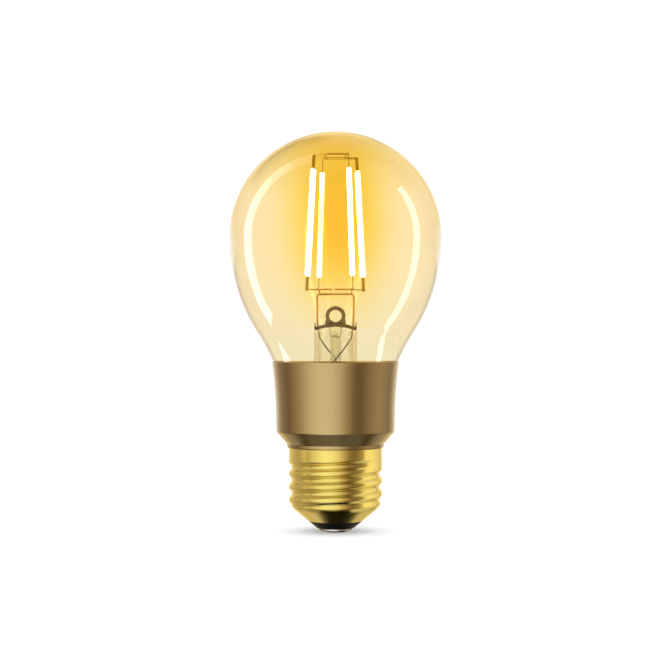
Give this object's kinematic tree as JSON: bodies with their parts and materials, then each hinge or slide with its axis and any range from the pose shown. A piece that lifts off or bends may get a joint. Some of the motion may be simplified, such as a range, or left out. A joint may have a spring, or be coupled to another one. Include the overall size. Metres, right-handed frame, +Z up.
{
  "type": "smart light bulb",
  "caption": "Gold-tinted LED filament light bulb with a glass stem, bronze collar and brass screw base.",
  "frame": {"origin": "on the bulb's axis, at the flat bottom of the centre contact", "axes": "+Z up along the bulb's axis from the contact to the crown; +X to the right and -Y towards the viewer of the front, where the two electrodes stand side by side"},
  "size_m": [0.0594, 0.0594, 0.1117],
  "materials": {
    "gold_glass": "clear gold-tinted glass",
    "stem_glass": "clear glass",
    "collar_bronze": "satin bronze",
    "shell_brass": "bright brass",
    "insulator_black": "gloss black",
    "contact_metal": "bright tinned",
    "wire_metal": "bright",
    "lead_copper": "oxidised copper sheath",
    "phosphor": "translucent silicone",
    "ceramic": "matt ceramic",
    "chip_blue": "polished semiconductor",
    "cement": "matt cement",
    "board_white": "solder mask",
    "board_green": "solder mask",
    "chip_black": "moulded epoxy",
    "tin_can": "tinned steel",
    "gold_trace": "plated copper",
    "sleeve_black": "heat-shrunk sleeve",
    "ferrite": "sintered ferrite",
    "enamel_copper": "enamelled wire",
    "film_yellow": "dipped film",
    "resistor_body": "lacquered ceramic",
    "wire_red": "insulated",
    "wire_blue": "insulated"
  },
  "bodies": {
    "root": {"base_insulator": "insulator_black", "bridge_rectifier": "chip_black", "bulk_capacitor": "sleeve_black", "centre_contact": "contact_metal", "collar_housing": "collar_bronze", "crossbar_left": "wire_metal", "crossbar_right": "wire_metal", "driver_board": "board_white", "driver_ic": "chip_black", "electrode_left": "wire_metal", "electrode_right": "wire_metal", "exhaust_tube": "stem_glass", "filament_strip_1": "ceramic", "filament_strip_2": "ceramic", "filament_strip_3": "ceramic", "filament_strip_4": "ceramic", "film_capacitor": "film_yellow", "fuse_resistor": "resistor_body", "glass_envelope": "gold_glass", "inductor_core": "ferrite", "inductor_winding": "enamel_copper", "lead_wire_left": "lead_copper", "lead_wire_right": "lead_copper", "led_chips_1": "chip_blue", "led_chips_2": "chip_blue", "led_chips_3": "chip_blue", "led_chips_4": "chip_blue", "led_filament_1": "phosphor", "led_filament_2": "phosphor", "led_filament_3": "phosphor", "led_filament_4": "phosphor", "live_wire": "wire_red", "lower_arm_1": "wire_metal", "lower_arm_2": "wire_metal", "lower_arm_3": "wire_metal", "lower_arm_4": "wire_metal", "lower_tab_1": "wire_metal", "lower_tab_2": "wire_metal", "lower_tab_3": "wire_metal", "lower_tab_4": "wire_metal", "neck_adhesive": "cement", "neutral_wire": "wire_blue", "screw_shell": "shell_brass", "stem_press": "stem_glass", "stem_tube": "stem_glass", "top_bridge": "wire_metal", "upper_arm_1": "wire_metal", "upper_arm_2": "wire_metal", "upper_arm_3": "wire_metal", "upper_arm_4": "wire_metal", "upper_tab_1": "wire_metal", "upper_tab_2": "wire_metal", "upper_tab_3": "wire_metal", "upper_tab_4": "wire_metal", "wifi_antenna": "gold_trace", "wifi_board": "board_green", "wifi_shield_can": "tin_can"}
  },
  "joints": []
}
